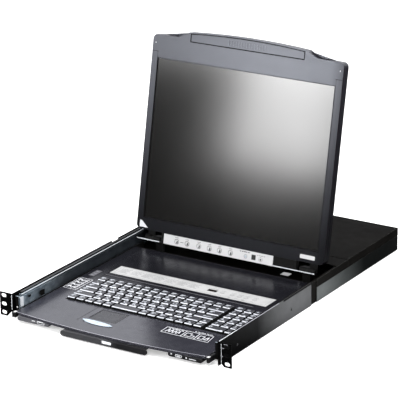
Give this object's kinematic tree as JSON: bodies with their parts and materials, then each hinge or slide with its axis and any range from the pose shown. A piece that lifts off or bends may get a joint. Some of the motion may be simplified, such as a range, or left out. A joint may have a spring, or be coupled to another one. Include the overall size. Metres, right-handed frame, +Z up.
{
  "type": "kvm switch",
  "caption": "Rack-mounted console drawer with a fold-up flat screen, keyboard and touchpad on telescopic slides, and a rear switch box with video sockets.",
  "frame": {"origin": "centre of the footprint, on the surface that the bottom sheet lies on", "axes": "+X to the user's right, +Y to the rear (the drawer pulls out along -Y), +Z up"},
  "size_m": [0.4826, 0.6744, 0.4296],
  "materials": {
    "black_steel": "satin black powder coat on sheet steel",
    "grey_steel": "satin dark grey coat",
    "zinc": "blue passivated zinc plate",
    "bright_steel": "bare bright steel",
    "dark_plastic": "fine-grained dark blue-grey moulding",
    "black_plastic": "matt black moulding",
    "silver_plastic": "silver painted plastic",
    "screen_glass": "dark anti-glare panel, opaque",
    "circuit_board": "green solder mask",
    "white_plastic": "white moulding"
  },
  "bodies": {
    "chassis": {"chassis_tray": "black_steel", "ear_bracket_left": "black_steel", "ear_bracket_right": "black_steel", "rear_bracket_left": "grey_steel", "rear_bracket_right": "grey_steel", "top_cover": "black_steel", "cover_strip": "black_steel", "rear_panel": "black_steel", "kvm_ports": "bright_steel", "console_ports": "bright_steel", "power_inlet": "black_plastic", "main_board": "circuit_board", "power_supply": "bright_steel", "slide_outer_left": "zinc", "slide_outer_right": "zinc"},
    "slide_middle": {"slide_middle_left": "zinc", "slide_middle_right": "zinc"},
    "drawer": {"drawer_pan": "black_steel", "slide_inner_left": "zinc", "slide_inner_right": "zinc", "keyboard_deck": "dark_plastic", "front_handle": "dark_plastic", "front_cap_left": "dark_plastic", "front_cap_right": "dark_plastic", "keyboard_plate": "bright_steel", "keycaps": "black_plastic", "touchpad": "black_plastic", "port_panel": "silver_plastic", "port_display": "screen_glass", "hinge_base_left": "black_steel", "hinge_base_right": "black_steel"},
    "screen": {"lcd_bezel": "dark_plastic", "lcd_back_cover": "black_plastic", "lcd_screen": "screen_glass", "lcd_backlight": "white_plastic", "lcd_board": "circuit_board", "lcd_grip": "dark_plastic", "lcd_chin": "black_plastic", "control_strip": "silver_plastic", "hinge_leaf_left": "black_steel", "hinge_leaf_right": "black_steel"},
    "rocker": {"power_rocker": "black_plastic"},
    "space_bar": {"space_bar": "black_plastic"},
    "enter_key": {"enter_key": "black_plastic"},
    "catch_left": {"release_catch_left": "black_plastic"},
    "touch_left": {"touch_button_left": "silver_plastic"},
    "catch_right": {"release_catch_right": "black_plastic"},
    "touch_right": {"touch_button_right": "silver_plastic"},
    "port_button_1": {"port_button_1": "black_plastic"},
    "port_button_2": {"port_button_2": "black_plastic"},
    "port_button_3": {"port_button_3": "black_plastic"},
    "port_button_4": {"port_button_4": "black_plastic"},
    "port_button_5": {"port_button_5": "black_plastic"},
    "osd_button_1": {"osd_button_1": "silver_plastic"},
    "osd_button_2": {"osd_button_2": "silver_plastic"},
    "osd_button_3": {"osd_button_3": "silver_plastic"},
    "osd_button_4": {"osd_button_4": "silver_plastic"},
    "osd_button_5": {"osd_button_5": "silver_plastic"},
    "osd_button_6": {"osd_button_6": "silver_plastic"}
  },
  "joints": [
    {"name": "drawer_slide", "type": "slide", "parent": "chassis", "child": "drawer", "axis": [0, -1, 0], "range_m": [0, 0.4]},
    {"name": "middle_slide", "type": "slide", "parent": "chassis", "child": "slide_middle", "axis": [0, -1, 0], "range_m": [0, 0.2]},
    {"name": "screen_tilt", "type": "hinge", "parent": "drawer", "child": "screen", "pos_m": [0, 0.07575, 0.0336], "axis": [1, 0, 0], "range_deg": [-13, 101.66]},
    {"name": "power_rock", "type": "hinge", "parent": "chassis", "child": "rocker", "pos_m": [-0.158, 0.33045, 0.021], "axis": [1, 0, 0], "range_deg": [-16, 0]},
    {"name": "space_press", "type": "slide", "parent": "drawer", "child": "space_bar", "axis": [0, 0, -1], "range_m": [0, 0.0022], "stiffness_N_per_m": 120, "springref_m": -0.001},
    {"name": "enter_press", "type": "slide", "parent": "drawer", "child": "enter_key", "axis": [0, 0, -1], "range_m": [0, 0.0022], "stiffness_N_per_m": 120, "springref_m": -0.001},
    {"name": "catch_pull_left", "type": "slide", "parent": "drawer", "child": "catch_left", "axis": [0, -1, 0], "range_m": [0, 0.003], "stiffness_N_per_m": 300, "springref_m": -0.001},
    {"name": "touch_press_left", "type": "slide", "parent": "drawer", "child": "touch_left", "axis": [0, 0, -1], "range_m": [0, 0.0006], "stiffness_N_per_m": 500, "springref_m": -0.001},
    {"name": "catch_pull_right", "type": "slide", "parent": "drawer", "child": "catch_right", "axis": [0, -1, 0], "range_m": [0, 0.003], "stiffness_N_per_m": 300, "springref_m": -0.001},
    {"name": "touch_press_right", "type": "slide", "parent": "drawer", "child": "touch_right", "axis": [0, 0, -1], "range_m": [0, 0.0006], "stiffness_N_per_m": 500, "springref_m": -0.001},
    {"name": "port_press_1", "type": "slide", "parent": "drawer", "child": "port_button_1", "axis": [0, 0, -1], "range_m": [0, 0.0006], "stiffness_N_per_m": 400, "springref_m": -0.001},
    {"name": "port_press_2", "type": "slide", "parent": "drawer", "child": "port_button_2", "axis": [0, 0, -1], "range_m": [0, 0.0006], "stiffness_N_per_m": 400, "springref_m": -0.001},
    {"name": "port_press_3", "type": "slide", "parent": "drawer", "child": "port_button_3", "axis": [0, 0, -1], "range_m": [0, 0.0006], "stiffness_N_per_m": 400, "springref_m": -0.001},
    {"name": "port_press_4", "type": "slide", "parent": "drawer", "child": "port_button_4", "axis": [0, 0, -1], "range_m": [0, 0.0006], "stiffness_N_per_m": 400, "springref_m": -0.001},
    {"name": "port_press_5", "type": "slide", "parent": "drawer", "child": "port_button_5", "axis": [0, 0, -1], "range_m": [0, 0.0006], "stiffness_N_per_m": 400, "springref_m": -0.001},
    {"name": "osd_press_1", "type": "slide", "parent": "screen", "child": "osd_button_1", "axis": [0, 0.9794, -0.2021], "range_m": [0, 0.0008], "stiffness_N_per_m": 400, "springref_m": -0.001},
    {"name": "osd_press_2", "type": "slide", "parent": "screen", "child": "osd_button_2", "axis": [0, 0.9794, -0.2021], "range_m": [0, 0.0008], "stiffness_N_per_m": 400, "springref_m": -0.001},
    {"name": "osd_press_3", "type": "slide", "parent": "screen", "child": "osd_button_3", "axis": [0, 0.9794, -0.2021], "range_m": [0, 0.0008], "stiffness_N_per_m": 400, "springref_m": -0.001},
    {"name": "osd_press_4", "type": "slide", "parent": "screen", "child": "osd_button_4", "axis": [0, 0.9794, -0.2021], "range_m": [0, 0.0008], "stiffness_N_per_m": 400, "springref_m": -0.001},
    {"name": "osd_press_5", "type": "slide", "parent": "screen", "child": "osd_button_5", "axis": [0, 0.9794, -0.2021], "range_m": [0, 0.0008], "stiffness_N_per_m": 400, "springref_m": -0.001},
    {"name": "osd_press_6", "type": "slide", "parent": "screen", "child": "osd_button_6", "axis": [0, 0.9794, -0.2021], "range_m": [0, 0.0008], "stiffness_N_per_m": 400, "springref_m": -0.001}
  ],
  "couplings": [
    {"joint": "middle_slide", "follows": "drawer_slide", "ratio": 0.5}
  ]
}
